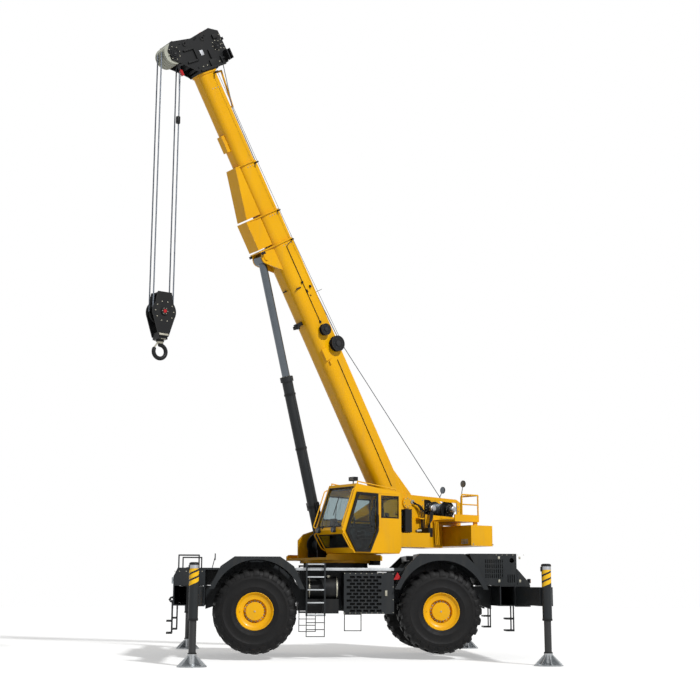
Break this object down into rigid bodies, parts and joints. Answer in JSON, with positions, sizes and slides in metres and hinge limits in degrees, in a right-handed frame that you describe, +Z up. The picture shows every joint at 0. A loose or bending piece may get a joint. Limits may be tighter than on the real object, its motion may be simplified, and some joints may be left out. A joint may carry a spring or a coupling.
{
  "type": "mobile crane",
  "caption": "Yellow and charcoal rough terrain mobile crane standing on its outriggers, telescopic boom raised and slewed to the left, hook block hanging.",
  "frame": {"origin": "on the floor under the middle of the machine's bounding box", "axes": "+X towards the front of the carrier, +Y to its left, +Z up"},
  "size_m": [8.9114, 7.93, 14.4928],
  "materials": {
    "crane_yellow": "gloss",
    "charcoal_paint": "satin",
    "tyre_rubber": "matte",
    "chrome_rod": "polished",
    "float_metal": "brushed",
    "rope_steel": "satin",
    "cast_parts": "matte",
    "window_glass": "gloss",
    "cab_plastic": "matte",
    "lamp_glass": "gloss"
  },
  "bodies": {
    "carrier": {"carrier_frame": "charcoal_paint", "front_outrigger_box": "charcoal_paint", "rear_outrigger_box": "charcoal_paint", "fenders": "charcoal_paint", "deck_plate": "charcoal_paint", "slew_bearing": "cast_parts", "engine_hood": "charcoal_paint", "engine_block": "cast_parts", "left_side_box": "charcoal_paint", "left_tanks": "charcoal_paint", "right_side_box": "charcoal_paint", "steps_and_rails": "charcoal_paint", "front_lamps": "lamp_glass", "front_axle": "cast_parts", "rear_axle": "cast_parts"},
    "superstructure": {"upper_frame": "crane_yellow", "counterweight": "crane_yellow", "cab_shell": "crane_yellow", "cab_windows": "window_glass", "operator_chair": "cab_plastic", "cab_console": "cab_plastic", "hoists": "cast_parts", "rear_platform": "crane_yellow", "lift_foot_bracket": "charcoal_paint", "upper_fittings": "charcoal_paint"},
    "cab_door_slider": {"cab_door": "crane_yellow", "cab_door_glass": "window_glass"},
    "boom_base": {"boom_base_section": "crane_yellow", "boom_fittings": "charcoal_paint"},
    "boom_inner_mid": {"boom_inner_mid_section": "crane_yellow"},
    "boom_outer_mid": {"boom_outer_mid_section": "crane_yellow"},
    "boom_fly": {"boom_fly_section": "crane_yellow", "boom_head": "cast_parts", "head_sheaves": "cast_parts"},
    "lift_rod": {"lift_cylinder_rod": "chrome_rod"},
    "lift_barrel": {"lift_cylinder_barrel": "charcoal_paint"},
    "hook_tackle": {"hoist_ropes": "rope_steel", "hook_block": "cast_parts"},
    "hook_swivel": {"hook": "cast_parts"},
    "left_front_steering": {"left_front_knuckle": "cast_parts"},
    "left_front_wheel": {"left_front_rim": "crane_yellow", "left_front_tyre": "tyre_rubber"},
    "left_front_outrigger": {"left_front_outrigger_beam": "charcoal_paint"},
    "left_front_jack_rod": {"left_front_jack": "float_metal"},
    "left_rear_steering": {"left_rear_knuckle": "cast_parts"},
    "left_rear_wheel": {"left_rear_rim": "crane_yellow", "left_rear_tyre": "tyre_rubber"},
    "left_rear_outrigger": {"left_rear_outrigger_beam": "charcoal_paint"},
    "left_rear_jack_rod": {"left_rear_jack": "float_metal"},
    "right_front_steering": {"right_front_knuckle": "cast_parts"},
    "right_front_wheel": {"right_front_rim": "crane_yellow", "right_front_tyre": "tyre_rubber"},
    "right_front_outrigger": {"right_front_outrigger_beam": "charcoal_paint"},
    "right_front_jack_rod": {"right_front_jack": "float_metal"},
    "right_rear_steering": {"right_rear_knuckle": "cast_parts"},
    "right_rear_wheel": {"right_rear_rim": "crane_yellow", "right_rear_tyre": "tyre_rubber"},
    "right_rear_outrigger": {"right_rear_outrigger_beam": "charcoal_paint"},
    "right_rear_jack_rod": {"right_rear_jack": "float_metal"}
  },
  "joints": [
    {"name": "slew", "type": "hinge", "parent": "carrier", "child": "superstructure", "pos_m": [0, 0, 2.02], "axis": [0, 0, 1], "continuous": true},
    {"name": "cab_door_slide", "type": "slide", "parent": "superstructure", "child": "cab_door_slider", "axis": [-0.848, -0.5299, 0], "range_m": [0, 0.62]},
    {"name": "boom_lift", "type": "hinge", "parent": "superstructure", "child": "boom_base", "pos_m": [-1.61977, -1.01215, 3.64], "axis": [0.5299, -0.848, 0], "range_deg": [-63, 18]},
    {"name": "inner_mid_telescope", "type": "slide", "parent": "boom_base", "child": "boom_inner_mid", "axis": [0.424, 0.265, 0.866], "range_m": [0, 5.6]},
    {"name": "outer_mid_telescope", "type": "slide", "parent": "boom_inner_mid", "child": "boom_outer_mid", "axis": [0.424, 0.265, 0.866], "range_m": [0, 6.2]},
    {"name": "fly_telescope", "type": "slide", "parent": "boom_outer_mid", "child": "boom_fly", "axis": [0.424, 0.265, 0.866], "range_m": [0, 7.3]},
    {"name": "lift_rod_pivot", "type": "hinge", "parent": "boom_base", "child": "lift_rod", "pos_m": [1.88506, 1.17792, 9.19825], "axis": [0.5299, -0.848, 0], "range_deg": [-13.2, 3.9]},
    {"name": "lift_cylinder_stroke", "type": "slide", "parent": "lift_rod", "child": "lift_barrel", "axis": [-0.2221, -0.1388, -0.9651], "range_m": [-2.45, 0.72]},
    {"name": "hook_tackle_hang", "type": "hinge", "parent": "boom_fly", "child": "hook_tackle", "pos_m": [4.1233, 2.57652, 13.60962], "axis": [0.5299, -0.848, 0], "range_deg": [-18.5, 63.5]},
    {"name": "hook_turn", "type": "hinge", "parent": "hook_tackle", "child": "hook_swivel", "pos_m": [4.1233, 2.57652, 6.85], "axis": [0, 0, 1], "continuous": true},
    {"name": "left_front_steer", "type": "hinge", "parent": "carrier", "child": "left_front_steering", "pos_m": [1.918, 1.08, 1.061], "axis": [0, 0, 1], "range_deg": [-22, 22]},
    {"name": "left_front_wheel_turn", "type": "hinge", "parent": "left_front_steering", "child": "left_front_wheel", "pos_m": [1.918, 1.2905, 1.061], "axis": [0, 1, 0], "continuous": true},
    {"name": "left_front_outrigger_slide", "type": "slide", "parent": "carrier", "child": "left_front_outrigger", "axis": [0, 1, 0], "range_m": [-2.09, 0]},
    {"name": "left_front_jack_lift", "type": "slide", "parent": "left_front_outrigger", "child": "left_front_jack_rod", "axis": [0, 0, 1], "range_m": [0, 0.62]},
    {"name": "left_rear_steer", "type": "hinge", "parent": "carrier", "child": "left_rear_steering", "pos_m": [-2.252, 1.08, 1.061], "axis": [0, 0, 1], "range_deg": [-22, 22]},
    {"name": "left_rear_wheel_turn", "type": "hinge", "parent": "left_rear_steering", "child": "left_rear_wheel", "pos_m": [-2.252, 1.2905, 1.061], "axis": [0, 1, 0], "continuous": true},
    {"name": "left_rear_outrigger_slide", "type": "slide", "parent": "carrier", "child": "left_rear_outrigger", "axis": [0, 1, 0], "range_m": [-2.09, 0]},
    {"name": "left_rear_jack_lift", "type": "slide", "parent": "left_rear_outrigger", "child": "left_rear_jack_rod", "axis": [0, 0, 1], "range_m": [0, 0.62]},
    {"name": "right_front_steer", "type": "hinge", "parent": "carrier", "child": "right_front_steering", "pos_m": [1.918, -1.08, 1.061], "axis": [0, 0, 1], "range_deg": [-22, 22]},
    {"name": "right_front_wheel_turn", "type": "hinge", "parent": "right_front_steering", "child": "right_front_wheel", "pos_m": [1.918, -1.2905, 1.061], "axis": [0, 1, 0], "continuous": true},
    {"name": "right_front_outrigger_slide", "type": "slide", "parent": "carrier", "child": "right_front_outrigger", "axis": [0, -1, 0], "range_m": [-2.09, 0]},
    {"name": "right_front_jack_lift", "type": "slide", "parent": "right_front_outrigger", "child": "right_front_jack_rod", "axis": [0, 0, 1], "range_m": [0, 0.62]},
    {"name": "right_rear_steer", "type": "hinge", "parent": "carrier", "child": "right_rear_steering", "pos_m": [-2.252, -1.08, 1.061], "axis": [0, 0, 1], "range_deg": [-22, 22]},
    {"name": "right_rear_wheel_turn", "type": "hinge", "parent": "right_rear_steering", "child": "right_rear_wheel", "pos_m": [-2.252, -1.2905, 1.061], "axis": [0, 1, 0], "continuous": true},
    {"name": "right_rear_outrigger_slide", "type": "slide", "parent": "carrier", "child": "right_rear_outrigger", "axis": [0, -1, 0], "range_m": [-2.09, 0]},
    {"name": "right_rear_jack_lift", "type": "slide", "parent": "right_rear_outrigger", "child": "right_rear_jack_rod", "axis": [0, 0, 1], "range_m": [0, 0.62]}
  ],
  "couplings": [
    {"joint": "lift_rod_pivot", "follows": "boom_lift", "ratio": 0.2027},
    {"joint": "lift_cylinder_stroke", "follows": "boom_lift", "m_per_rad": 2.167},
    {"joint": "hook_tackle_hang", "follows": "boom_lift", "ratio": -1}
  ]
}
